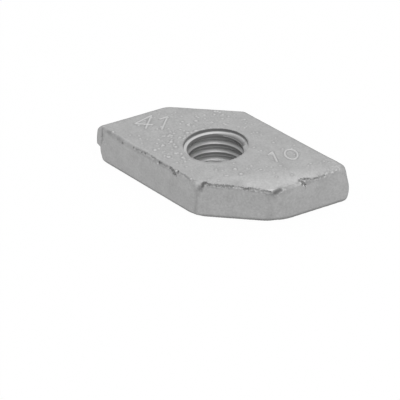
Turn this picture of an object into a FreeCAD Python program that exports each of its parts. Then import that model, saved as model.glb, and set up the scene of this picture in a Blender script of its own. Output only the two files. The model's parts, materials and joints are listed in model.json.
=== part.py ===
import FreeCAD, Part
import math
import os

Vector = FreeCAD.Vector

# Plan of the nut, seen from above: a leaning six-sided plate. It looks the same after half a turn.
# Corners run clockwise: right tip, front corner, front side corner, left tip, back corner, back side corner.
plate_width = 20.0          # across the two long sides, to pass a 22 mm slot
tip_span = 36.4             # from one tip to the other, measured along the long sides
side_length = 23.8          # one long side
end_length = 12.55          # one end face
end_lean = 12.7             # degrees that an end face leans away from square
plate_thickness = 6.1

# Form of the walls and edges.
wall_draft = 0.18           # how far the underside stands out beyond the top, all round
end_bulge = 0.35            # how far the middle of an end face stands out beyond its two edges
tip_radius = 0.9            # upright corner at each tip
side_radius = 0.9           # upright corner where a long side meets a cut corner
back_radius = 3.0           # upright corner between the left end and the back cut corner
front_radius = 7.0          # the same corner in front, rolled softer by the shear
top_radius = 0.8            # edge of the top face
bottom_radius = 0.55        # edge of the underside

# The shear has dragged the front corner down, so the top face rolls off towards it.
corner_sag = 0.65           # drop of the top face at the front corner
sag_margin = 1.2            # how far inside the line between tip and side corner the roll-off begins

# Threaded hole, plain here at its tapping size, with a countersink at each mouth.
tapping_radius = 4.25       # for a 10 mm screw thread of 1.5 mm pitch
countersink_radius = 5.08
countersink_half_angle = 45.0
hole_shift_along = -0.5     # the punched hole sits a little off the middle of the plate
hole_shift_across = -0.5

# How far a cutting form is carried past the plate, so that it cuts clean through.
overrun = 5.0


def plan_corners():
    """The six corners of the top face, clockwise from the right tip, before any edge is rounded."""
    lean = math.radians(end_lean)
    right_tip = Vector(tip_span / 2, plate_width / 2, 0)
    along_end = Vector(-math.sin(lean), -math.cos(lean), 0)
    front_corner = right_tip + along_end * end_length
    front_side_corner = Vector(side_length - tip_span / 2, -plate_width / 2, 0)
    half = [right_tip, front_corner, front_side_corner]
    return half + [corner * -1 for corner in half]


def outward(start, end):
    """Unit vector that points out of the plate, square to a side that runs clockwise."""
    along = (end - start).normalize()
    return Vector(-along.y, along.x, 0)


def grown(corners, amounts):
    """The plan with each side moved out by its own amount. Side i starts at corner i."""
    moved = []
    for i, corner in enumerate(corners):
        following = corners[(i + 1) % len(corners)]
        normal_in = outward(corners[i - 1], corner)
        normal_out = outward(corner, following)
        turn = normal_in.x * normal_out.y - normal_in.y * normal_out.x
        shift_x = (amounts[i - 1] * normal_out.y - amounts[i] * normal_in.y) / turn
        shift_y = (amounts[i] * normal_in.x - amounts[i - 1] * normal_out.x) / turn
        moved.append(corner + Vector(shift_x, shift_y, 0))
    return moved


def face_through(points):
    return Part.Face(Part.makePolygon(points + [points[0]]))


def drafted_plate(corners, spare):
    """Straight-edged plate with drafted walls. The two ends are left too long by the spare amount."""
    ends_long = [spare, 0, 0, spare, 0, 0]
    raised = Vector(0, 0, plate_thickness)
    top = [corner + raised for corner in grown(corners, ends_long)]
    bottom = grown(corners, [wall_draft + extra for extra in ends_long])
    faces = [face_through(top), face_through(bottom)]
    for i in range(len(corners)):
        j = (i + 1) % len(corners)
        faces.append(face_through([bottom[i], bottom[j], top[j], top[i]]))
    plate = Part.Solid(Part.Shell(faces))
    if plate.Volume < 0:
        plate.reverse()
    return plate


def end_trim(start, end):
    """What the shear takes off one end: everything outside a bulging face along that end."""
    along = (end - start).normalize()
    normal = outward(start, end)
    origin = start - along * overrun

    def at(out, height):
        return origin + normal * out + Vector(0, 0, height)

    low_edge = at(wall_draft, 0)
    high_edge = at(0, plate_thickness)
    crest = at(wall_draft / 2 + end_bulge, plate_thickness / 2)
    below = at(wall_draft - end_bulge, -overrun)
    above = at(-end_bulge, plate_thickness + overrun)
    waste = 4 * end_bulge + overrun
    outline = [
        Part.Arc(low_edge, crest, high_edge).toShape(),
        Part.makeLine(high_edge, above),
        Part.makeLine(above, at(waste, plate_thickness + overrun)),
        Part.makeLine(at(waste, plate_thickness + overrun), at(waste, -overrun)),
        Part.makeLine(at(waste, -overrun), below),
        Part.makeLine(below, low_edge),
    ]
    return Part.Face(Part.Wire(outline)).extrude(along * (end_length + 2 * overrun))


def upright_edge(plate, corner):
    """The edge that runs from the underside to the top face nearest to a corner of the plan."""
    best = None
    for edge in plate.Edges:
        low, high = sorted(edge.Vertexes, key=lambda vertex: vertex.Z)[::len(edge.Vertexes) - 1]
        if high.Z - low.Z < plate_thickness / 2:
            continue
        distance = math.hypot(high.X - corner.x, high.Y - corner.y)
        if best is None or distance < best[0]:
            best = (distance, edge)
    return best[1]


def round_uprights(plate, corners):
    """Rounds the six upright corners, each to its own radius."""
    radii = [tip_radius, front_radius, side_radius, tip_radius, back_radius, side_radius]
    for corner, radius in zip(corners, radii):
        plate = plate.makeFillet(radius, [upright_edge(plate, corner)])
    return plate


def roll_off(corners):
    """What lies above the sagging front corner: outside a round face tangent to the top."""
    right_tip, front_corner, front_side_corner = corners[:3]
    along = (right_tip - front_side_corner).normalize()
    towards = Vector(along.y, -along.x, 0)
    reach = (front_corner - front_side_corner).dot(towards) + sag_margin
    radius = (reach ** 2 + corner_sag ** 2) / (2 * corner_sag)
    angle = math.asin(reach / radius)
    origin = front_side_corner - towards * sag_margin - along * tip_span

    def at(out, height):
        return origin + towards * out + Vector(0, 0, height)

    def on_arc(turn):
        return at(radius * math.sin(turn), plate_thickness - radius * (1 - math.cos(turn)))

    # Past the corner the round face runs straight on.
    far = reach + overrun
    far_low = at(far, plate_thickness - corner_sag - overrun * math.tan(angle))
    far_high = at(far, plate_thickness + overrun)
    near_high = at(0, plate_thickness + overrun)
    outline = [
        Part.Arc(on_arc(0), on_arc(angle / 2), on_arc(angle)).toShape(),
        Part.makeLine(on_arc(angle), far_low),
        Part.makeLine(far_low, far_high),
        Part.makeLine(far_high, near_high),
        Part.makeLine(near_high, on_arc(0)),
    ]
    return Part.Face(Part.Wire(outline)).extrude(along * (3 * tip_span))


def rim_edges(faces):
    """The outer edges of a group of faces: those that only one face of the group has."""
    edges = [edge for face in faces for edge in face.Edges]
    return [edge for edge in edges if sum(edge.isSame(other) for other in edges) == 1]


def round_rims(plate):
    """Rounds the edge of the top face, over its roll-off too, and then that of the underside."""
    top_faces = [face for face in plate.Faces if face.BoundBox.ZMin > plate_thickness / 2]
    plate = plate.makeFillet(top_radius, rim_edges(top_faces))
    underside = [face for face in plate.Faces if face.BoundBox.ZMax < bottom_radius / 10]
    return plate.makeFillet(bottom_radius, rim_edges(underside))


def hole_form():
    """Tapping hole with a countersink at each mouth."""
    axis_foot = Vector(hole_shift_along, hole_shift_across, 0)
    slope = math.tan(math.radians(countersink_half_angle))
    depth = (countersink_radius - tapping_radius) / slope
    mouth_radius = countersink_radius + overrun * slope
    drill = Part.makeCylinder(
        tapping_radius, plate_thickness + 2 * overrun, axis_foot - Vector(0, 0, overrun)
    )
    upper = Part.makeCone(
        tapping_radius, mouth_radius, depth + overrun, axis_foot + Vector(0, 0, plate_thickness - depth)
    )
    lower = Part.makeCone(mouth_radius, tapping_radius, depth + overrun, axis_foot - Vector(0, 0, overrun))
    return [drill, upper, lower]


def channel_nut():
    corners = plan_corners()
    plate = drafted_plate(corners, 2 * end_bulge)
    for start, end in ((corners[0], corners[1]), (corners[3], corners[4])):
        plate = plate.cut(end_trim(start, end))
    plate = round_uprights(plate, corners)
    plate = plate.cut(roll_off(corners))
    plate = round_rims(plate)
    for form in hole_form():
        plate = plate.cut(form)
    return plate.Solids[0]


os.makedirs("parts", exist_ok=True)
nut = channel_nut()
nut.exportStep("parts/channel_nut.step")
print("channel_nut", nut.isValid(), round(nut.Volume, 2), "mm3,", len(nut.Faces), "faces")
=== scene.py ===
import json
import math
import random

import bpy
import numpy as np
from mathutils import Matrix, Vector
from mathutils.kdtree import KDTree


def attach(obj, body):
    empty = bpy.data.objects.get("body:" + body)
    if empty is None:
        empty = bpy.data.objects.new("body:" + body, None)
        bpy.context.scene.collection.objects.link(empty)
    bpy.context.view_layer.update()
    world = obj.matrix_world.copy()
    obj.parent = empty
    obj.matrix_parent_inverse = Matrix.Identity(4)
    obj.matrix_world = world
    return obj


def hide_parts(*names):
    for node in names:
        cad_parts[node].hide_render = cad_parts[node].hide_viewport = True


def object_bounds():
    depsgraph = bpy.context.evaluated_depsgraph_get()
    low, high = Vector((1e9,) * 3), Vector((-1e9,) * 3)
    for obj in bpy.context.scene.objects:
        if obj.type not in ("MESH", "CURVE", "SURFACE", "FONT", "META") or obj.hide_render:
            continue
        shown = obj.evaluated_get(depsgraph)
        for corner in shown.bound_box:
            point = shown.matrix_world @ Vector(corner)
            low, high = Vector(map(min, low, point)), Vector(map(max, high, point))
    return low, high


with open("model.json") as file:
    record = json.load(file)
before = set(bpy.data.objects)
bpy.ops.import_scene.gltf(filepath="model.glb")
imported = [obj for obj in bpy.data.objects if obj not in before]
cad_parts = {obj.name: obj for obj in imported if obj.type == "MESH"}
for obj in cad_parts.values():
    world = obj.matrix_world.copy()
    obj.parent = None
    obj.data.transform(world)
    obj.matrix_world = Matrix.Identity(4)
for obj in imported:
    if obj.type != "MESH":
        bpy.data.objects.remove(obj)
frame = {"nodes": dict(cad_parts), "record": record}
cadLow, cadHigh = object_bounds()

mm = 0.001
plateTop = cadHigh.z / mm                    # height of the clamping face
threadMount = next(m for m in frame["record"]["mounts"] if m["name"] == "thread")
holeAxis = Vector(threadMount["pos_m"]) / mm
tappingRadius = threadMount["dims"]["r_mm"]


# Picking things, as a click in the viewport would

def pick(piece):
    if bpy.context.object and bpy.context.object.mode != "OBJECT":
        bpy.ops.object.mode_set(mode="OBJECT")
    bpy.ops.object.select_all(action="DESELECT")
    piece.select_set(True)
    bpy.context.view_layer.objects.active = piece


def pickFaces(piece, wanted):                # wanted gets face centres in mm and face normals
    pick(piece)
    faces = piece.data.polygons
    centres = np.zeros(len(faces) * 3, np.float32)
    normals = np.zeros(len(faces) * 3, np.float32)
    faces.foreach_get("center", centres)
    faces.foreach_get("normal", normals)
    chosen = wanted(centres.reshape(-1, 3) / mm, normals.reshape(-1, 3))
    bpy.ops.object.mode_set(mode="EDIT")
    bpy.ops.mesh.select_mode(type="FACE")
    bpy.ops.mesh.select_all(action="DESELECT")
    bpy.ops.object.mode_set(mode="OBJECT")
    faces.foreach_set("select", chosen)
    bpy.ops.object.mode_set(mode="EDIT")
    return int(chosen.sum())


def applyModifier(piece, kind, **settings):
    pick(piece)
    modifier = piece.modifiers.new(kind.lower(), kind)
    for name, value in settings.items():
        setattr(modifier, name, value)
    bpy.ops.object.modifier_apply(modifier=modifier.name)


def distanceToHole(places):
    return np.hypot(places[:, 0] - holeAxis.x, places[:, 1] - holeAxis.y)


# The blank: the sheared plate before it is punched, with an even skin that can be worked

blank = {
    "weld": 0.001,                           # mm, joins the loose triangles
    "plugReach": 5.4,                        # mm from the hole's axis, takes the hole's own faces ...
    "levelNormal": 0.99,                     # ... but not those of the two broad faces round it
    "coarseGrid": 0.27,                      # mm between skin points on walls and underside
    "fineAbove": 4.8,                        # mm, from here up the skin is twice as fine
    "creaseAngle": 42,                       # degrees, edges sharper than this are shaded sharp
}

rollOff = {                                  # flat facet that falls away to the front corner
    "frontSideCorner": (5.6, -10.0),         # mm in plan, like the next two
    "rightTip": (18.2, 10.0),
    "frontCorner": (15.44, -2.24),
    "margin": 1.2,                           # mm, how far inside the line between the first two it begins
    "sag": 0.68,                             # mm at the front corner
}


def flattenRollOff(form):
    side, tip = Vector(rollOff["frontSideCorner"]), Vector(rollOff["rightTip"])
    corner = Vector(rollOff["frontCorner"])
    along = (tip - side).normalized()
    out = Vector((along.y, -along.x))
    run = (corner - side).dot(out) + rollOff["margin"]
    start = side - out * rollOff["margin"]
    facing = Vector((out.x * rollOff["sag"], out.y * rollOff["sag"], run)).normalized()
    pick(form)
    bpy.ops.object.mode_set(mode="EDIT")
    bpy.ops.mesh.select_all(action="SELECT")
    bpy.ops.mesh.bisect(plane_co=(start.x * mm, start.y * mm, plateTop * mm),
                        plane_no=facing,
                        clear_outer=True, use_fill=True)
    bpy.ops.object.mode_set(mode="OBJECT")


def settleOn(skin, form):
    applyModifier(skin, "SHRINKWRAP", target=form, wrap_method="NEAREST_SURFACEPOINT")


def isHoleFace(at, normal):
    return (distanceToHole(at) < blank["plugReach"]) & (abs(normal[:, 2]) < blank["levelNormal"])


def makeBlank():
    node = frame["nodes"]["channel_nut"]
    pick(node)
    bpy.ops.object.duplicate()
    form = bpy.context.active_object
    form.name = "nutForm"
    form.parent = None
    for key in list(form.keys()):            # the node's own tags
        del form[key]
    pick(form)
    bpy.ops.object.mode_set(mode="EDIT")
    bpy.ops.mesh.select_all(action="SELECT")
    bpy.ops.mesh.remove_doubles(threshold=blank["weld"] * mm)
    pickFaces(form, isHoleFace)
    bpy.ops.mesh.delete(type="FACE")
    bpy.ops.mesh.select_mode(type="EDGE")
    bpy.ops.mesh.select_non_manifold()
    bpy.ops.mesh.fill_holes(sides=0)
    bpy.ops.object.mode_set(mode="OBJECT")
    flattenRollOff(form)

    pick(form)
    bpy.ops.object.duplicate()
    skin = bpy.context.active_object
    skin.name = "channelNut"
    applyModifier(skin, "REMESH", mode="VOXEL", voxel_size=blank["coarseGrid"] * mm,
                  use_smooth_shade=True)
    settleOn(skin, form)
    pickFaces(skin, lambda at, normal: at[:, 2] > blank["fineAbove"])
    bpy.ops.mesh.subdivide(number_cuts=1)
    bpy.ops.object.mode_set(mode="OBJECT")
    settleOn(skin, form)
    print("blank:", len(skin.data.polygons), "faces")
    return skin, form


# Lines and spots worked into the skin. Points are mm, and are dropped onto the surface.

edgeLines = {                                # the torn line where the zinc lip ends, and its depth as a share
    "longSideLeft": ([(-14.2, -9.8, 5.9), (-11.9, -9.85, 5.8), (-9.3, -9.8, 5.85)], 0.14),
    "longSideMiddle": ([(-8.6, -9.8, 5.85), (-7.3, -9.65, 6.0), (-5.4, -9.65, 6.0)], 0.38),
    "longSideRight": ([(-5.2, -9.6, 6.0), (-3.8, -9.75, 5.9), (-3.0, -9.8, 5.85), (-1.6, -9.75, 5.9),
                       (-0.3, -9.7, 5.95)], 0.6),
    "longSideEnd": ([(1.5, -9.75, 5.95), (2.5, -9.6, 6.0), (4.1, -9.75, 5.9)], 0.3),
    "corner": ([(4.9, -9.6, 5.95), (5.8, -9.2, 6.05), (6.5, -9.0, 5.85)], 0.25),
    "cutCorner": ([(6.6, -8.9, 5.85), (7.2, -8.6, 5.75), (8.4, -7.6, 5.75), (9.2, -6.95, 5.75),
                   (10.1, -6.15, 5.75), (11.1, -5.4, 5.65), (11.55, -5.2, 5.5), (12.2, -4.55, 5.6),
                   (12.7, -4.25, 5.5), (13.7, -3.5, 5.4), (14.6, -2.7, 5.2)], 0.6),
    "endStart": ([(15.4, -0.6, 5.65), (15.6, 0.85, 5.75), (15.85, 2.0, 5.85)], 0.05),
    "end": ([(15.85, 2.0, 5.85), (15.9, 2.8, 5.9), (16.1, 3.2, 5.9), (16.5, 3.5, 5.8), (16.8, 3.8, 5.65),
             (16.95, 4.3, 5.65), (17.2, 5.3, 5.65), (17.4, 5.95, 5.6)], 0.5),
}
tears = {                                    # how a torn line is laid as a row of dabs
    "width": 0.44,                           # mm, of an edge line
    "step": 0.12,                            # mm from dab to dab
    "spell": 5,                              # dabs in a row that share one strength
    "strongest": 1.1,
    "widths": (0.8, 1.25),                   # share of the width, from dab to dab
    "line": {"wander": 0.04, "weakest": 0.4},            # mm off the line, and the least strength
    "cut": {"wander": 0.02, "weakest": 0.85},
    "smudge": {"wander": 0.08, "weakest": 0.4},
    "seed": 5,
    "smudgeSeed": 8,
}

cuts = [                                     # deeper tears: points, width in mm, depth as a share
    ([(14.8, -2.55, 4.7), (15.1, -2.15, 5.0)], 0.9, 0.42),
    ([(15.1, -2.1, 4.95), (15.25, -1.75, 5.2), (15.36, -1.35, 5.4)], 1.1, 0.68),
    ([(6.65, -8.6, 6.0), (6.5, -9.0, 5.85), (6.55, -9.25, 5.45)], 0.75, 0.7),
    ([(6.55, -9.25, 5.45), (6.4, -9.4, 5.0)], 0.45, 0.4),
    ([(7.65, -8.4, 5.4), (8.1, -8.0, 5.3), (9.1, -7.3, 5.2)], 0.3, 0.2),
    ([(5.9, -9.8, 4.7), (5.85, -9.9, 3.1), (5.6, -10.05, 1.2)], 0.6, 0.2),
    ([(-0.3, -9.7, 5.95), (0.5, -9.85, 5.8), (1.3, -10.0, 5.5)], 0.36, 0.8),
    ([(1.3, -9.6, 6.0), (1.5, -9.75, 5.9)], 0.36, 0.7),
    ([(16.3, 2.3, 5.7), (16.6, 2.4, 5.4), (16.8, 2.6, 5.0)], 0.4, 0.6),
    ([(-17.2, -9.65, 6.0), (-16.9, -10.0, 5.4), (-16.85, -10.1, 4.2), (-17.3, -10.1, 3.2)], 0.4, 0.36),
    ([(-17.0, -9.6, 6.0), (-14.9, -9.75, 5.9), (-13.1, -9.75, 5.9)], 1.0, 0.1),
]

pits = [                                     # single hollows: place, radius, depth as a share
    ((-11.9, -9.9, 5.6), 0.35, 0.5), ((-9.3, -9.8, 5.8), 0.3, 0.5), ((-7.3, -9.75, 5.9), 0.3, 0.6),
    ((-6.5, -9.75, 5.9), 0.3, 0.6), ((-3.0, -9.85, 5.8), 0.35, 0.8), ((0.6, -10.0, 5.5), 0.35, 0.6),
    ((8.1, -7.9, 5.7), 0.3, 0.5), ((16.6, 2.2, 5.35), 0.3, 0.6),
]

shadeStrokes = [                                  # painted shade, level: points, width in mm, darkness
    ([(-17.1, -9.6, 6.0), (-15.6, -9.75, 5.9)], 0.8, 0.35),
    ([(-15.6, -9.75, 5.9), (-14.9, -9.75, 5.9), (-13.1, -9.75, 5.9)], 1.0, 0.48),
    ([(-13.1, -9.75, 5.9), (-11.9, -9.85, 5.8)], 0.8, 0.4),
    ([(-18.6, -10.3, 3.3), (-18.6, -10.1, 5.2)], 0.8, 0.5),
    ([(5.9, -9.8, 4.7), (5.85, -9.9, 3.1), (5.6, -10.05, 1.0)], 0.9, 0.25),
    ([(-11.9, -9.9, 5.75), (-8.0, -9.9, 5.75), (-3.0, -9.9, 5.75), (-0.2, -9.85, 5.8)], 0.6, 0.24),
    ([(7.3, -8.7, 5.55), (10.2, -6.35, 5.5), (12.9, -4.2, 5.35), (14.6, -2.85, 5.0)], 0.5, 0.4),
    ([(15.75, -0.6, 5.4), (15.95, 0.8, 5.5), (16.3, 2.0, 5.55), (16.5, 2.9, 5.5), (16.75, 3.6, 5.5),
      (16.95, 4.2, 5.45), (17.2, 5.3, 5.4)], 0.7, 0.3),
    ([(6.8, -8.8, 5.8), (9.2, -6.95, 5.75), (12.2, -4.55, 5.6), (14.6, -2.7, 5.2)], 0.6, 0.3),
    ([(8.2, -6.6, 5.95), (10.2, -5.3, 5.9)], 3.0, 0.24),
    ([(-4.0, -10.1, 2.4), (4.0, -10.1, 2.4)], 5.0, 0.07),
    ([(14.8, -2.6, 4.7), (15.5, -1.2, 5.3)], 1.5, 0.4),
    ([(15.75, -0.4, 5.0), (16.0, 0.8, 5.1)], 0.9, 0.2),
    ([(15.8, -1.4, 2.9), (16.05, -0.9, 2.3), (16.2, -0.4, 2.7)], 1.3, 0.14),
    ([(14.75, -2.8, 4.1), (14.7, -2.85, 2.5), (14.65, -2.85, 0.9)], 1.5, 0.12),
    ([(6.5, -9.0, 5.85), (6.4, -9.4, 5.0)], 1.0, 0.55),
]

burrs = [                                    # crumbs along the edge, with a painted highlight: place, radius, height as a share
    ((4.4, -9.6, 6.0), 0.3, 0.9), ((1.0, -9.65, 5.95), 0.3, 1.0), ((16.45, 2.7, 5.7), 0.3, 0.5),
    ((13.4, -3.65, 5.45), 0.26, 0.8), ((8.0, -7.75, 5.85), 0.24, 0.6), ((9.7, -6.4, 5.85), 0.22, 0.6),
    ((11.2, -5.2, 5.75), 0.26, 0.6), ((-7.6, -9.5, 6.05), 0.24, 0.6), ((-4.5, -9.5, 6.05), 0.24, 0.6),
    ((16.95, 4.0, 5.9), 0.24, 0.6),
]

beads = [                                    # zinc beads that the dip left on the top face
    (-6.15, -6.4), (-4.4, -5.25), (-5.95, -8.15), (-2.9, -6.5), (-1.2, -6.5), (-6.1, -4.8),
    (-6.2, -2.95), (-6.45, -1.2), (-8.3, 0.5), (-6.0, 0.15), (-14.9, -9.4), (-2.8, -7.95),
    (8.7, -3.3), (6.95, -3.0), (-8.4, 2.2),
]
beadLook = {"radius": 0.42, "height": 0.9}   # mm, and a share

strays = {                                   # smaller beads at seeded places on the top face
    "count": 300,
    "along": (-16, 16, -6),                  # mm: from, to, and where they lie thickest
    "across": (-8.6, 8.3),                   # mm
    "lean": 0.6,                             # the ends' slant, with the next line
    "endReach": 14,                          # mm, keeps them off the two ends
    "cutNormal": (-0.619, 0.785),
    "cutReach": 10.3,                        # mm, keeps them off the two cut corners
    "holeReach": 5.6,                        # mm
    "radius": 0.28,                          # mm
    "sizes": (0.6, 1.2),                     # share of that radius, and of the height
    "clearUpTo": -1,                         # mm, left of here they stand out more
    "clearHeight": 0.8,
    "faintHeight": 0.68,
    "seed": 11,
}

tipCrumbs = {                                # on the rim at the right tip
    "count": 16,
    "place": (17.0, 7.4, 6.0),               # mm
    "spread": (0.5, 1.1),                    # mm, along and across
    "sizes": (0.8, 1.3),
    "height": 0.54,
}

rimCrumbs = {                                # round the far left of the mouth
    "count": 16,
    "angles": (150, 220),                    # degrees
    "radii": (5.25, 5.6),                    # mm from the hole's axis
    "sizes": (0.7, 1.1),
}

numerals = {                                 # strokes of each numeral in a box one unit high
    "1": [[(0.05, 0.78), (0.3, 1.0), (0.3, 0.0)]],
    "4": [[(0.5, 0.0), (0.5, 1.0), (0.0, 0.3), (0.7, 0.3)]],
    "0": [[(0.32 + 0.32 * math.sin(turn), 0.5 + 0.5 * math.cos(turn))
           for turn in np.linspace(0, 2 * math.pi, 17)]],
}
marks = {                                    # plain raised sizes: the channel's width and the thread's
    "channelSize": {"text": "41", "foot": (-13.7, -6.2), "height": 4.0, "turn": 38},
    "threadSize": {"text": "10", "foot": (9.4, 2.2), "height": 3.0, "turn": 62},
    "strokeWidth": 0.55,                     # mm
    "strokeHeight": 1.0,                     # a share
    "advance": 0.85,                         # from one numeral to the next, as a share of their height
}

relief = {
    "deepest": 0.30,                         # mm, a line or pit of share 1
    "tallest": 0.12,                         # mm, a bead or mark of share 1
    "falloff": 1.5,                          # how a dab thins out towards its edge
    "fineReach": 0.55,                       # mm round a line where the skin is made finer again
}


def alongLine(points, step):
    for start, end in zip(points, points[1:]):
        start, end = Vector(start), Vector(end)
        count = max(1, round((end - start).length / step))
        for i in range(count):
            yield start.lerp(end, i / count)
    yield Vector(points[-1])


def raggedDabs(points, width, depth, kind, chance):
    look = tears[kind]
    for i, spot in enumerate(alongLine(points, tears["step"])):
        if i % tears["spell"] == 0:
            strength = chance.uniform(look["weakest"], tears["strongest"])
        drift = Vector((chance.gauss(0, 1), chance.gauss(0, 1), chance.gauss(0, 1))) * look["wander"]
        yield spot + drift, width / 2 * chance.uniform(*tears["widths"]), depth * strength


def sunkDabs():
    chance = random.Random(tears["seed"])
    dabs = []
    for points, depth in edgeLines.values():
        dabs += raggedDabs(points, tears["width"], depth, "line", chance)
    for points, width, depth in cuts:
        dabs += raggedDabs(points, width, depth, "cut", chance)
    return dabs + [(Vector(place), radius, depth) for place, radius, depth in pits]


def markDabs():
    dabs = []
    for name in ("channelSize", "threadSize"):
        mark = marks[name]
        turn = math.radians(mark["turn"])
        along = Vector((math.cos(turn), math.sin(turn), 0)) * mark["height"]
        up = Vector((-math.sin(turn), math.cos(turn), 0)) * mark["height"]
        for place, numeral in enumerate(mark["text"]):
            foot = Vector((*mark["foot"], plateTop)) + along * place * marks["advance"]
            for stroke in numerals[numeral]:
                line = [foot + along * across + up * rise for across, rise in stroke]
                for spot in alongLine(line, tears["step"]):
                    dabs.append((spot, marks["strokeWidth"] / 2, marks["strokeHeight"]))
    return dabs


def beadDabs():
    dabs = [(Vector((x, y, plateTop)), beadLook["radius"], beadLook["height"]) for x, y in beads]
    return dabs + [(Vector(place), radius, share) for place, radius, share in burrs]


def shadeDabs():
    chance = random.Random(tears["smudgeSeed"])
    dabs = []
    for points, width, darkness in shadeStrokes:
        dabs += raggedDabs(points, width, darkness, "smudge", chance)
    return dabs


def isOpenTop(spot):                         # clear of the ends, the cut corners and the hole
    normalX, normalY = strays["cutNormal"]
    fromEnd = abs(spot.x - strays["lean"] * spot.y) < strays["endReach"]
    fromCut = abs(normalY * spot.y + normalX * spot.x) < strays["cutReach"]
    return fromEnd and fromCut and (spot - holeAxis).xy.length > strays["holeReach"]


def strayDabs():
    chance = random.Random(strays["seed"])
    dabs = []
    while len(dabs) < strays["count"]:
        spot = Vector((chance.triangular(*strays["along"]), chance.uniform(*strays["across"]), plateTop))
        if isOpenTop(spot):
            size = chance.uniform(*strays["sizes"])
            share = strays["clearHeight"] if spot.x < strays["clearUpTo"] else strays["faintHeight"]
            dabs.append((spot, strays["radius"] * size, share * size))
    x, y, z = tipCrumbs["place"]
    spreadX, spreadY = tipCrumbs["spread"]
    for i in range(tipCrumbs["count"]):
        spot = Vector((chance.gauss(x, spreadX), chance.gauss(y, spreadY), z))
        dabs.append((spot, strays["radius"] * chance.uniform(*tipCrumbs["sizes"]), tipCrumbs["height"]))
    for i in range(rimCrumbs["count"]):
        turn = math.radians(chance.uniform(*rimCrumbs["angles"]))
        spot = holeAxis + Vector((math.cos(turn), math.sin(turn), 0)) * chance.uniform(*rimCrumbs["radii"])
        spot.z = plateTop
        dabs.append((spot, strays["radius"] * chance.uniform(*rimCrumbs["sizes"]), strays["clearHeight"]))
    return dabs


def onSurface(piece, dabs):                  # drops each dab onto the skin
    settled = []
    for spot, radius, share in dabs:
        place = piece.closest_point_on_mesh(spot * mm)[1]
        settled.append((place / mm, radius, share))
    return settled


def refine(skin, form, dabs):
    tree = KDTree(len(dabs))
    for i, (spot, radius, share) in enumerate(dabs):
        tree.insert(spot, i)
    tree.balance()
    reach = relief["fineReach"]
    pickFaces(skin, lambda at, normal: np.array([tree.find(Vector(p))[2] < reach for p in at]))
    bpy.ops.mesh.subdivide(number_cuts=1)
    bpy.ops.object.mode_set(mode="OBJECT")
    settleOn(skin, form)


def weightsOf(piece, dabs):
    tree = KDTree(len(piece.data.vertices))
    for vertex in piece.data.vertices:
        tree.insert(vertex.co / mm, vertex.index)
    tree.balance()
    weights = {}
    for spot, radius, share in dabs:
        for place, index, distance in tree.find_range(spot, radius):
            weight = share * (1 - (distance / radius) ** 2) ** relief["falloff"]
            weights[index] = max(weights.get(index, 0), weight)
    return weights


def pressSkin(skin, name, dabs, height):     # negative height presses in
    group = skin.vertex_groups.new(name=name)
    for index, weight in weightsOf(skin, dabs).items():
        group.add([index], min(weight, 1), "REPLACE")
    applyModifier(skin, "DISPLACE", vertex_group=name, direction="NORMAL", mid_level=0,
                  strength=height * mm)


wave = {"grain": 1.6, "height": 0.035}       # mm, the slight unevenness of the whole dipped skin

leftTip = {                                  # an ear at the left tip, over a set-back lower zone
    "stepHeight": 2.85,                      # mm, lower end of the ear
    "stepRag": 0.12,                         # mm, how uneven that end is
    "ragSteps": 40,
    "ragPerMm": 2.5,
    "ragFrom": -12,                          # mm, where across the nut the steps begin
    "reach": 1.9,                            # mm from the tip along the long side
    "easeIn": 0.3,                           # share of that reach over which the ear starts
    "swell": 0.6,                            # under 1, so most of it is out early
    "earOut": 0.52,                          # mm
    "lowerIn": 0.42,                         # mm
    "topNormal": 0.8,                        # faces that look further up than this stay
    "topHeight": 6.0,                        # mm, the ear dies out here ...
    "topFade": 0.8,                          # mm, ... over this much
    "seed": 3,
    "dirt": 0.75,                            # painted shade on the ear's outer side ...
    "dirtFrom": 0.15,                        # mm, ... from this far inside the blank's tip
    "dirtFade": 0.3,                         # mm
    "dirtAbove": 3,                          # mm
}

pushes = [                                   # soft moves: spot, radius and shift, all in mm
    ((15.6, 9.9, 5.6), 2.4, (0.0, 0.07, 0.02)),
    ((18.1, 9.6, 5.9), 0.9, (-0.1, -0.1, -0.1)),
    ((18.2, 9.4, 2.2), 2.4, (0.15, 0.13, 0)),
    ((18.0, 9.7, 0.1), 0.9, (-0.06, -0.05, 0)),
    ((-17.9, -9.9, 0.2), 1.6, (0.2, 0.08, 0.12)),
    ((15.4, -2.4, 0.2), 1.2, (-0.08, 0.08, 0)),
    ((15.75, 0.6, 5.7), 2.0, (-0.22, 0, -0.04)),
    ((5.5, -10.1, 0.1), 1.6, (-0.02, 0.12, 0.1)),
]


def shapeLeftTip(skin):
    tipX = cadLow.x / mm
    chance = random.Random(leftTip["seed"])
    rag = [chance.uniform(-1, 1) * leftTip["stepRag"] for i in range(leftTip["ragSteps"])]
    groups = {"ear": -leftTip["earOut"], "setBack": leftTip["lowerIn"]}
    for name in groups:
        skin.vertex_groups.new(name=name)
    for vertex in skin.data.vertices:
        x, y, z = vertex.co / mm
        share = min(1, max(0, (tipX + leftTip["reach"] - x) / leftTip["reach"]))
        near = share ** leftTip["swell"] * min(1, share / leftTip["easeIn"])
        if near > 0 and vertex.normal.z < leftTip["topNormal"]:
            alongRag = (y - leftTip["ragFrom"]) * leftTip["ragPerMm"]
            step = leftTip["stepHeight"] + np.interp(alongRag, range(len(rag)), rag)
            name = "ear" if z > step else "setBack"
            fade = min(1, (leftTip["topHeight"] - z) / leftTip["topFade"]) if name == "ear" else 1
            skin.vertex_groups[name].add([vertex.index], max(0, near * fade), "REPLACE")
    for name, shift in groups.items():
        applyModifier(skin, "DISPLACE", vertex_group=name, direction="X", mid_level=0, strength=shift * mm)


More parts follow.
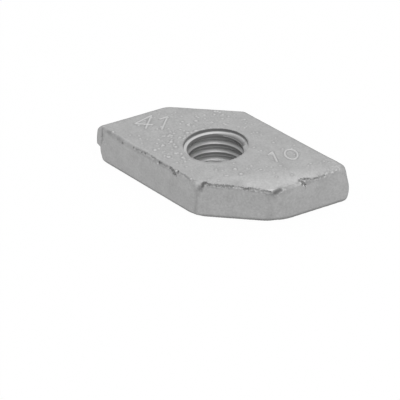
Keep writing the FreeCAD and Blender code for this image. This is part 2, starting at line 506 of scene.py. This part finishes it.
endWall = {                                  # the right end's wall stands back under its torn line
    "floor": 3.4,                            # mm, from this height ...
    "rise": 2.0,                             # mm, ... growing over this much
    "setBack": 0.25,                         # mm
    "from": 2.2,                             # mm across the nut
    "to": 5.0,
    "fade": 1.5,                             # mm, at both of these
    "clear": 0.04,                           # mm that the wall begins outside the line
}


def setBackEnd(skin):
    line = edgeLines["endStart"][0] + edgeLines["end"][0][1:]
    alongY, lineX = [p[1] for p in line], [p[0] for p in line]
    group = skin.vertex_groups.new(name="endWall")
    for vertex in skin.data.vertices:
        x, y, z = vertex.co / mm
        if z > endWall["floor"] and x > np.interp(y, alongY, lineX) + endWall["clear"]:
            share = min(1, (z - endWall["floor"]) / endWall["rise"])
            share *= min(1, max(0, (y - endWall["from"]) / endWall["fade"]))
            share *= min(1, max(0, (endWall["to"] - y) / endWall["fade"]))
            group.add([vertex.index], share * share * (3 - 2 * share), "REPLACE")    # eased at both ends
    applyModifier(skin, "DISPLACE", vertex_group="endWall", direction="X", mid_level=0,
                  strength=-endWall["setBack"] * mm)


def pushSkin(skin):
    for spot, radius, shift in pushes:
        tree = KDTree(len(skin.data.vertices))
        for vertex in skin.data.vertices:
            tree.insert(vertex.co, vertex.index)
        tree.balance()
        nearest = tree.find(Vector(spot) * mm)[1]
        pick(skin)
        bpy.ops.object.mode_set(mode="EDIT")
        bpy.ops.mesh.select_mode(type="VERT")
        bpy.ops.mesh.select_all(action="DESELECT")
        bpy.ops.object.mode_set(mode="OBJECT")
        skin.data.vertices[nearest].select = True
        bpy.ops.object.mode_set(mode="EDIT")
        bpy.ops.transform.translate(value=[part * mm for part in shift], use_proportional_edit=True,
                                    proportional_edit_falloff="SMOOTH", proportional_size=radius * mm)
        bpy.ops.object.mode_set(mode="OBJECT")


def workSkin(skin, form):
    sunk, raised = onSurface(skin, sunkDabs()), onSurface(skin, markDabs() + beadDabs())
    refine(skin, form, sunk + raised)
    raised += onSurface(skin, strayDabs())
    shapeLeftTip(skin)
    setBackEnd(skin)
    pushSkin(skin)
    texture = bpy.data.textures.new("zincWave", "CLOUDS")
    texture.noise_scale = wave["grain"] * mm
    applyModifier(skin, "DISPLACE", texture=texture, texture_coords="LOCAL", mid_level=0.5,
                  strength=wave["height"] * mm)
    pressSkin(skin, "raised", raised, relief["tallest"])
    pressSkin(skin, "sunk", sunk, -relief["deepest"])
    print("skin worked:", len(skin.data.polygons), "faces")


# The hole: drilled, countersunk, and tapped with a right-hand thread

hole = {
    "mouth": 5.08,                           # mm, radius at both faces
    "lip": 0.38,                             # mm, upright step at the upper mouth
    "lipFoot": (0.1, 0.14),                  # mm below the lip and inside the mouth, where its round begins
    "lipLean": (0.04, 0.06),                 # mm, the lip is this much narrower below and wider above
    "dullSink": 0.24,                        # mm of the upper countersink, next to the thread, that is dull
    "sinkRing": 0.06,                        # mm, between its dull and its bright part
    "sides": 128,
    "overrun": 1.0,                          # mm that the drill is longer than the hole at both ends
    "pitch": 1.5,                            # mm
    "rootRadius": 5.0,                       # mm
    "rootFlat": 1 / 8,                       # of the pitch
    "flankAngle": 30,                        # degrees
    "flareRadius": 4.33,                     # mm, the crests are rounded inward from here
    "crestFlat": 0.36,                       # mm left of each crest at the tapping radius
    "crestHeight": 2.14,                     # mm, height of one crest ...
    "crestAngle": 140.6,                     # ... at this angle round the axis
    "tapInside": 0.05,                       # mm that the tap reaches into the open hole
    "turns": 7,
    "turnsBelow": 3,                         # of them, from that crest down
    "stepsPerTurn": 96,
}


def makeDrill():
    mouth, lip, ring, over = hole["mouth"], hole["lip"], hole["sinkRing"], hole["overrun"]
    sink = mouth - tappingRadius
    dullTop, dullRadius = plateTop - sink + hole["dullSink"], tappingRadius + hole["dullSink"]
    footDown, footIn = hole["lipFoot"]
    narrower, wider = hole["lipLean"]
    stations = [                             # height and radius, from below the plate to above it
        (-over, mouth + over),
        (sink, tappingRadius),
        (plateTop - sink, tappingRadius),
        (dullTop, dullRadius),
        (dullTop + ring, dullRadius + ring),
        (plateTop - lip - footDown, mouth - footIn),
        (plateTop - lip, mouth - narrower),
        (plateTop + over, mouth + wider),
    ]
    low, firstRadius = stations[0]
    bpy.ops.object.select_all(action="DESELECT")
    bpy.ops.mesh.primitive_circle_add(vertices=hole["sides"], radius=firstRadius * mm, fill_type="NGON",
                                      location=(holeAxis.x * mm, holeAxis.y * mm, low * mm))
    drill = bpy.context.active_object
    drill.name = "drill"
    bpy.ops.object.mode_set(mode="EDIT")
    for (lower, oldRadius), (upper, newRadius) in zip(stations, stations[1:]):
        bpy.ops.mesh.extrude_region_move(TRANSFORM_OT_translate={"value": (0, 0, (upper - lower) * mm)})
        share = newRadius / oldRadius
        bpy.ops.transform.resize(value=(share, share, 1),
                                 center_override=(holeAxis.x * mm, holeAxis.y * mm, upper * mm))
    finishTool(drill)
    return drill


def makeTap():
    pitch, root, flare = hole["pitch"], hole["rootRadius"], hole["flareRadius"]
    rootHalf = pitch * hole["rootFlat"] / 2
    flareHalf = rootHalf + (root - flare) * math.tan(math.radians(hole["flankAngle"]))
    crestHalf = (pitch - hole["crestFlat"]) / 2
    slope = (crestHalf - flareHalf) / (flare - tappingRadius)
    inner = tappingRadius - hole["tapInside"]
    rise = pitch * hole["crestAngle"] / 360
    start = (hole["crestHeight"] + pitch / 2 - rise - hole["turnsBelow"] * pitch) * mm
    axisX, axisY = holeAxis.x * mm, holeAxis.y * mm
    middle = (root + flare) / 2 * mm
    bpy.ops.object.select_all(action="DESELECT")
    bpy.ops.mesh.primitive_plane_add(size=(root - flare) * mm, location=(axisX, axisY, 0))
    tap = bpy.context.active_object
    tap.name = "tap"
    bpy.ops.object.mode_set(mode="EDIT")
    bpy.ops.transform.rotate(value=math.pi / 2, orient_axis="X", center_override=(axisX, axisY, 0))
    bpy.ops.transform.translate(value=(middle, 0, start))
    for side, half in ((1, rootHalf), (-1, flareHalf)):
        bpy.ops.mesh.select_mode(type="EDGE")
        bpy.ops.mesh.select_all(action="DESELECT")
        bpy.ops.object.mode_set(mode="OBJECT")
        for edge in tap.data.edges:
            ends = [tap.data.vertices[i].co for i in edge.vertices]
            edge.select = all((end.x - middle) * side > 0 for end in ends)
        bpy.ops.object.mode_set(mode="EDIT")
        stretch = 2 * half / (root - flare)
        bpy.ops.transform.resize(value=(1, 1, stretch), center_override=(axisX, axisY, start))
    bpy.ops.mesh.extrude_edges_move(TRANSFORM_OT_translate={"value": ((inner - flare) * mm, 0, 0)})
    spread = (flareHalf + slope * (flare - inner)) / flareHalf
    bpy.ops.transform.resize(value=(1, 1, spread), center_override=(axisX, axisY, start))
    bpy.ops.mesh.select_all(action="DESELECT")
    bpy.ops.object.mode_set(mode="OBJECT")
    for edge in tap.data.edges:              # the edge between the two faces, left inside the profile
        ends = [tap.data.vertices[i].co.x for i in edge.vertices]
        edge.select = all(abs(end - flare * mm) < blank["weld"] * mm for end in ends)
    bpy.ops.object.mode_set(mode="EDIT")
    bpy.ops.mesh.dissolve_edges(use_verts=False)
    bpy.ops.object.mode_set(mode="OBJECT")
    applyModifier(tap, "SCREW", axis="Z", angle=2 * math.pi, screw_offset=pitch * mm,
                  iterations=hole["turns"], steps=hole["stepsPerTurn"], render_steps=hole["stepsPerTurn"],
                  use_smooth_shade=False)
    finishTool(tap)
    return tap


def finishTool(tool):
    pick(tool)
    bpy.ops.object.mode_set(mode="EDIT")
    bpy.ops.mesh.select_mode(type="EDGE")
    bpy.ops.mesh.select_all(action="DESELECT")
    bpy.ops.mesh.select_non_manifold()
    bpy.ops.mesh.fill_holes(sides=0)
    bpy.ops.mesh.select_all(action="SELECT")
    bpy.ops.mesh.normals_make_consistent(inside=False)
    bpy.ops.object.mode_set(mode="OBJECT")
    bpy.ops.object.transform_apply(location=True, rotation=True, scale=True)


def cutHole(skin):
    for tool in (makeDrill(), makeTap()):
        applyModifier(skin, "BOOLEAN", operation="DIFFERENCE", solver="EXACT", object=tool)
        print(tool.name, "cut:", len(skin.data.polygons), "faces")
        bpy.data.objects.remove(tool)


# Materials

class Value:                                 # a socket that can be used in sums
    def __init__(self, material, socket):
        self.material = material
        self.socket = socket

    def maths(self, operation, other, flipped=False):
        pair = (other, self) if flipped else (self, other)
        return self.material.node("ShaderNodeMath", {"operation": operation}, {0: pair[0], 1: pair[1]})

    def __add__(self, other):
        return self.maths("ADD", other)

    def __radd__(self, other):
        return self.maths("ADD", other, True)

    def __sub__(self, other):
        return self.maths("SUBTRACT", other)

    def __rsub__(self, other):
        return self.maths("SUBTRACT", other, True)

    def __mul__(self, other):
        return self.maths("MULTIPLY", other)

    def __rmul__(self, other):
        return self.maths("MULTIPLY", other, True)


class Finish:                                # one material and the nodes that make it
    def __init__(self, name):
        self.material = bpy.data.materials.new(name)
        self.material.use_nodes = True
        self.tree = self.material.node_tree
        self.tree.nodes.clear()

    def node(self, kind, settings, inputs, output=0):
        made = self.tree.nodes.new(kind)
        for name, value in settings.items():
            setattr(made, name, value)
        for name, value in inputs.items():
            if isinstance(value, Value):
                self.tree.links.new(value.socket, made.inputs[name])
            else:
                made.inputs[name].default_value = value
        return Value(self, made.outputs[output]) if made.outputs else made

    def noise(self, place, size, detail=2, roughness=0.5):   # size in mm
        return self.node("ShaderNodeTexNoise", {"noise_dimensions": "3D"}, {
            "Vector": place, "Scale": 1 / (size * mm), "Detail": detail, "Roughness": roughness,
        })

    def ramp(self, value, low, high):
        return self.node("ShaderNodeMapRange", {"clamp": True},
                         {"Value": value, "From Min": low, "From Max": high, "To Min": 0.0, "To Max": 1.0})

    def mix(self, share, first, second):
        return self.node("ShaderNodeMix", {"data_type": "RGBA"}, {0: share, 6: first, 7: second}, output=2)


def grey(level):
    return (level, level, level, 1)


zinc = {
    "pale": 0.42,
    "dull": 0.32,
    "bright": 0.54,                          # painted highlight on the tops of beads and strokes, and on the countersink band
    "dirt": 0.07,                            # colour where darkened: painted shade in torn lines, pits and elsewhere
    "patch": 2.4,                            # mm, soft blotches
    "patchShare": 0.4,                       # the rest of the mottle is grain
    "grain": 0.35,                           # mm, fine mottle
    "contrast": (0.35, 0.65),
    "footDirt": 1.0,                         # painted shade along the lower edges
    "footHeight": 0.75,                      # mm
    "footSolid": 0.05,                       # mm, fully shaded up to here
    "metallic": 0.65,
    "roughness": 0.3,
    "mottleRoughness": 0.1,
    "dirtRoughness": 0.3,
    "bumpGrain": 0.22,                       # mm
    "bumpHeight": 0.035,                     # mm
}


def zincFinish():
    finish = Finish("dullZinc")
    place = finish.node("ShaderNodeTexCoord", {}, {}, output="Object")
    patches = finish.noise(place, zinc["patch"], detail=3, roughness=0.55)
    grain = finish.noise(place, zinc["grain"], detail=2, roughness=0.6)
    mottle = finish.ramp(zinc["patchShare"] * patches + (1 - zinc["patchShare"]) * grain, *zinc["contrast"])
    # darkening attribute: painted shade in crevices, round beads and on turned-away skin, plus plain darker
    # places
    grime = finish.node("ShaderNodeAttribute", {"attribute_name": "grime"}, {}, output="Fac")
    clean = finish.mix(mottle, grey(zinc["dull"]), grey(zinc["pale"]))
    # pale attribute: painted highlight on raised tops and on the countersink band
    pale = finish.node("ShaderNodeAttribute", {"attribute_name": "pale"}, {}, output="Fac")
    height = finish.node("ShaderNodeSeparateXYZ", {}, {0: place}, output=2)
    # painted shade along the lower edges, by height
    foot = zinc["footDirt"] * finish.ramp(height, zinc["footHeight"] * mm, zinc["footSolid"] * mm)
    darkened = finish.node("ShaderNodeMath", {"operation": "MAXIMUM"}, {0: grime, 1: foot})
    colour = finish.mix(darkened, finish.mix(pale, clean, grey(zinc["bright"])), grey(zinc["dirt"]))
    roughness = zinc["roughness"] + zinc["mottleRoughness"] * mottle + zinc["dirtRoughness"] * darkened
    metallic = zinc["metallic"] * (1 - darkened)
    bumps = finish.noise(place, zinc["bumpGrain"], detail=3, roughness=0.6)
    normal = finish.node("ShaderNodeBump", {}, {
        "Strength": 1.0, "Distance": zinc["bumpHeight"] * mm, "Height": bumps,
    })
    shader = finish.node("ShaderNodeBsdfPrincipled", {}, {
        "Base Color": colour, "Roughness": roughness, "Metallic": metallic, "Normal": normal,
    })
    finish.node("ShaderNodeOutputMaterial", {}, {"Surface": shader})
    return finish.material


cutSteel = {
    "shade": 0.48,
    "dark": 0.14,                            # painted dark reflection on the crests, which mirror the dark near wall
    "crestReach": 4.34,                      # mm from the axis, bright flank from here on
    "crestFade": 0.08,                       # mm
    "roughness": 0.34,
    "metallic": 0.45,
    "scratch": 0.12,                         # mm
    "scratchContrast": (0.3, 0.7),
    "scratchShade": 0.85,                    # of the shade
    "scratchRoughness": 0.1,
    "overlap": 0.02,                         # mm that it runs on into both countersinks
}


def cutFinish():                             # the tapped wall: painted dark reflection on the crests, bright flanks
    finish = Finish("cutThread")
    place = finish.node("ShaderNodeTexCoord", {}, {}, output="Object")
    noise = finish.noise(place, cutSteel["scratch"], detail=3, roughness=0.6)
    scratches = finish.ramp(noise, *cutSteel["scratchContrast"])
    fromAxis = finish.node("ShaderNodeVectorMath", {"operation": "SUBTRACT"},
                           {0: place, 1: (holeAxis.x * mm, holeAxis.y * mm, 0)})
    level = finish.node("ShaderNodeVectorMath", {"operation": "MULTIPLY"}, {0: fromAxis, 1: (1, 1, 0)})
    away = finish.node("ShaderNodeVectorMath", {"operation": "LENGTH"}, {0: level}, output="Value")
    crestEnd = cutSteel["crestReach"] - cutSteel["crestFade"]
    flank = finish.ramp(away, crestEnd * mm, cutSteel["crestReach"] * mm)
    scratched = grey(cutSteel["shade"] * cutSteel["scratchShade"])
    bright = finish.mix(scratches, scratched, grey(cutSteel["shade"]))
    # painted dark reflection on the crest flats
    colour = finish.mix(flank, grey(cutSteel["dark"]), bright)
    roughness = cutSteel["roughness"] + cutSteel["scratchRoughness"] * scratches
    shader = finish.node("ShaderNodeBsdfPrincipled", {}, {
        "Base Color": colour, "Roughness": roughness, "Metallic": cutSteel["metallic"],
    })
    finish.node("ShaderNodeOutputMaterial", {}, {"Surface": shader})
    return finish.material


def isThread(at, normal):
    sink = hole["mouth"] - tappingRadius - cutSteel["overlap"]
    return (distanceToHole(at) < hole["mouth"]) & (at[:, 2] > sink) & (at[:, 2] < plateTop - sink)


def dress(skin):
    skin.data.materials.clear()
    skin.data.materials.append(zincFinish())
    skin.data.materials.append(cutFinish())
    pickFaces(skin, isThread)
    skin.active_material_index = 1
    bpy.ops.object.material_slot_assign()
    bpy.ops.object.mode_set(mode="OBJECT")


shadeMarks = {                                     # painted shade, painted highlights and plain darkening by place, all shares where not in mm
    "tornDirt": 1.3,                         # painted shade in torn lines and pits, of a dab's depth
    "moatReach": 1.7,                        # of a dab's radius, painted shadow round a bead or a stroke
    "moatRise": 2,
    "moatDirt": 0.3,
    "topDirt": 0.08,                         # darker on the clamping face, not on its roll-off
    "topDepth": (0.25, 0.2),                 # mm below that face where it begins, and over how much
    "litSide": (0.66, -0.54, 0.52),          # skin that looks this way gets no painted shade
    "duller": 0.6,                           # painted shade on the rest, but for what looks the other way
    "dullUpTo": (0.46, 0.2),                 # cosine to the lit side where it ends, and its fade
    "dullFrom": (-0.42, 0.3),                # the same where it begins
    "dullOutside": 0.5,                      # mm outside the mouth
    "faceSlack": 0.02,                       # mm off the clamping face or the mouth
    "farSide": (-0.773, 0.634),              # where the mouth's rim is dark and chipped
    "rimDirt": 0.8,
    "rimReach": 0.14,                        # mm of dark rim round that side
    "rimShares": (0.3, 0.8),                 # all round, and more on that side
    "rimSlack": 0.03,                        # mm below the lip
    "nearRim": 0.3,                          # painted shade on the rounded near side of the mouth
    "nearReach": 0.8,                        # mm
    "nearDepth": 0.2,                        # mm below the clamping face
    "sinkDirt": 0.9,                         # darker on the dull part of the upper countersink
    "sinkShares": (0.75, 0.5),               # half way round, and the least
    "sinkSlack": (0.03, 0.3),                # mm outside it and below it
    "bandPale": 1.0,                         # painted highlight on the rest of that countersink
    "bandInside": 0.08,                      # mm inside the mouth
    "bandDepth": 1,                          # mm below the clamping face
}


def readSkin(skin):                          # places in mm and normals
    count = len(skin.data.vertices)
    places, normals = np.zeros(count * 3, np.float32), np.zeros(count * 3, np.float32)
    skin.data.vertices.foreach_get("co", places)
    skin.data.vertex_normals.foreach_get("vector", normals)
    return places.reshape(-1, 3) / mm, normals.reshape(-1, 3)


def paintDabs(skin, grime, pale, sunk, raised, shaded):
    moat = np.zeros(len(grime))
    # painted shade in torn lines and pits
    for index, weight in weightsOf(skin, sunk).items():
        grime[index] = min(shadeMarks["tornDirt"] * weight, 1)
    # painted highlight on the tops of beads, strokes and crumbs
    for index, weight in weightsOf(skin, raised).items():
        pale[index] = min(weight, 1)
    # painted shadow in a ring round each raised dab
    wider = [(spot, shadeMarks["moatReach"] * radius, share) for spot, radius, share in raised]
    for index, weight in weightsOf(skin, wider).items():
        moat[index] = min(shadeMarks["moatRise"] * weight, 1)
    grime[:] = np.maximum(grime, shadeMarks["moatDirt"] * moat * (1 - pale))
    # painted shade strokes
    for index, weight in weightsOf(skin, shaded).items():
        grime[index] = max(grime[index], weight)


def darkenWhere(grime, wanted, amount):       # never cleaner than it was
    grime[wanted] = np.maximum(grime[wanted], amount[wanted])


def paintOutside(places, normals, away, grime):
    x, height = places[:, 0], places[:, 2]
    turned = normals @ np.array(Vector(shadeMarks["litSide"]))
    (upTo, upFade), (start, startFade) = shadeMarks["dullUpTo"], shadeMarks["dullFrom"]
    # painted shade on skin that turns away from the lit side, outside the mouth
    dull = np.clip((upTo - turned) / upFade, 0, 1) * np.clip((turned - start) / startFade, 0, 1)
    outside = (away > hole["mouth"] + shadeMarks["dullOutside"]) & (height < plateTop - shadeMarks["faceSlack"])
    darkenWhere(grime, outside, shadeMarks["duller"] * dull)
    topDepth, topFade = shadeMarks["topDepth"]
    grime[:] = np.maximum(grime, shadeMarks["topDirt"] * np.clip((height - plateTop + topDepth) / topFade, 0, 1))
    # painted shade on the ear's outer side
    earShare = np.clip((cadLow.x / mm + leftTip["dirtFrom"] - x) / leftTip["dirtFade"], 0, 1)
    earShare *= height > leftTip["dirtAbove"]
    grime[:] = np.maximum(grime, leftTip["dirt"] * earShare)


def paintMouth(places, away, grime, pale):
    mouth, height = hole["mouth"], places[:, 2]
    farX, farY = Vector(shadeMarks["farSide"])
    facing = ((places[:, 0] - holeAxis.x) * farX + (places[:, 1] - holeAxis.y) * farY) / away
    # painted shade on the rounded near side of the mouth
    near = (away > mouth - shadeMarks["faceSlack"]) & (away < mouth + shadeMarks["nearReach"])
    near &= height > plateTop - shadeMarks["nearDepth"]
    fade = np.clip(1 - (away - mouth) / shadeMarks["nearReach"], 0, 1)
    darkenWhere(grime, near, shadeMarks["nearRim"] * np.clip(-facing, 0, 1) * fade)
    outSlack, downSlack = shadeMarks["sinkSlack"]
    middle, least = shadeMarks["sinkShares"]
    dullRadius = tappingRadius + hole["dullSink"] + outSlack
    sink = (away < dullRadius) & (height > plateTop - mouth + tappingRadius - downSlack)
    grime[sink] = shadeMarks["sinkDirt"] * np.clip(middle + facing[sink], least, 1)
    # painted highlight on the countersink band
    band = (away > dullRadius) & (away < mouth - shadeMarks["bandInside"]) & (height > plateTop - shadeMarks["bandDepth"])
    pale[band] = shadeMarks["bandPale"]
    allRound, farMore = shadeMarks["rimShares"]
    rim = (away < mouth + shadeMarks["rimReach"]) & (height > plateTop - hole["lip"] - shadeMarks["rimSlack"])
    darkenWhere(grime, rim, shadeMarks["rimDirt"] * np.clip(allRound + farMore * facing, 0, 1))


def paintDarkening(skin, sunk, raised, shaded):
    places, normals = readSkin(skin)
    away = distanceToHole(places)
    grime, pale = np.zeros(len(places)), np.zeros(len(places))
    paintDabs(skin, grime, pale, sunk, raised, shaded)
    paintOutside(places, normals, away, grime)
    paintMouth(places, away, grime, pale)
    for name, values in (("grime", grime), ("pale", pale)):
        layer = skin.data.attributes.new(name, "FLOAT", "POINT")
        layer.data.foreach_set("value", values.astype(np.float32))


# The studio: pale floor, soft light, white all round

studio = {
    "floorSize": 3.0,                        # m
    "floorColour": 0.95,
    "whitening": 0.97,                       # how far what is seen of the floor goes to plain white
    "worldStrength": 0.62,
}

softboxes = {                                # azimuth and elevation in degrees, power in W, the rest in m
    "front": {"azimuth": 70, "elevation": 50, "power": 2.75, "size": 0.6, "distance": 0.8},
    "back": {"azimuth": 232, "elevation": 58, "power": 0.9, "size": 0.6, "distance": 0.8},
    "top": {"azimuth": 50, "elevation": 78, "power": 0.15, "size": 0.12, "distance": 0.8},
}


def seenRay(finish):                         # camera, mirror and glass rays
    rays = [finish.node("ShaderNodeLightPath", {}, {}, output=name)
            for name in ("Is Camera Ray", "Is Glossy Ray", "Is Transmission Ray")]
    return finish.node("ShaderNodeMath", {"operation": "MINIMUM"}, {0: rays[0] + rays[1] + rays[2], 1: 1.0})


def makeFloor():
    bpy.ops.object.select_all(action="DESELECT")
    bpy.ops.mesh.primitive_plane_add(size=studio["floorSize"], location=(0, 0, 0))
    floor = bpy.context.active_object
    floor.name = "floor"
    finish = Finish("paleFloor")
    matt = finish.node("ShaderNodeBsdfDiffuse", {}, {"Color": grey(studio["floorColour"])})
    white = finish.node("ShaderNodeEmission", {}, {"Color": grey(1), "Strength": 1.0})
    whitened = studio["whitening"] * seenRay(finish)
    surface = finish.node("ShaderNodeMixShader", {}, {0: whitened, 1: matt, 2: white})
    finish.node("ShaderNodeOutputMaterial", {}, {"Surface": surface})
    floor.data.materials.append(finish.material)


class Sky(Finish):
    def __init__(self):
        world = bpy.data.worlds.new("whiteRoom")
        world.use_nodes = True
        bpy.context.scene.world = world
        self.tree = world.node_tree
        self.tree.nodes.clear()


def makeSky():
    sky = Sky()
    lit = sky.node("ShaderNodeBackground", {}, {"Color": grey(1), "Strength": studio["worldStrength"]})
    seen = sky.node("ShaderNodeBackground", {}, {"Color": grey(1), "Strength": 1.0})
    surface = sky.node("ShaderNodeMixShader", {}, {0: seenRay(sky), 1: lit, 2: seen})
    sky.node("ShaderNodeOutputWorld", {}, {"Surface": surface})


def makeLamps():
    for name, box in softboxes.items():
        azimuth, elevation = math.radians(box["azimuth"]), math.radians(box["elevation"])
        away = Vector((math.sin(azimuth) * math.cos(elevation), -math.cos(azimuth) * math.cos(elevation),
                       math.sin(elevation)))
        bpy.ops.object.light_add(type="AREA", location=away * box["distance"],
                                 rotation=away.to_track_quat("Z", "Y").to_euler())
        lamp = bpy.context.active_object
        lamp.name = name + "Softbox"
        lamp.data.energy = box["power"]
        lamp.data.size = box["size"]


photoView = {
    "location": (0.247204, -0.202662, 0.194049),         # m
    "rotation": (58.2326, 2.4178, 49.7908),              # degrees
    "lens": 216,                             # mm
}


def makeCamera():
    turns = [math.radians(turn) for turn in photoView["rotation"]]
    bpy.ops.object.camera_add(location=photoView["location"], rotation=turns)
    camera = bpy.context.active_object
    camera.data.lens = photoView["lens"]
    bpy.context.scene.camera = camera


# Building the nut

skin, form = makeBlank()
workSkin(skin, form)
bpy.data.objects.remove(form)
cutHole(skin)
paintDarkening(skin, onSurface(skin, sunkDabs()), onSurface(skin, markDabs() + beadDabs() + strayDabs()),
           onSurface(skin, shadeDabs()))
pick(skin)
bpy.ops.object.shade_smooth_by_angle(angle=math.radians(blank["creaseAngle"]))
dress(skin)
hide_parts("channel_nut")
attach(skin, "root")
print("nut ready")

makeFloor()
makeSky()
makeLamps()
makeCamera()
bpy.context.scene.view_settings.view_transform = "Standard"
print("studio ready")
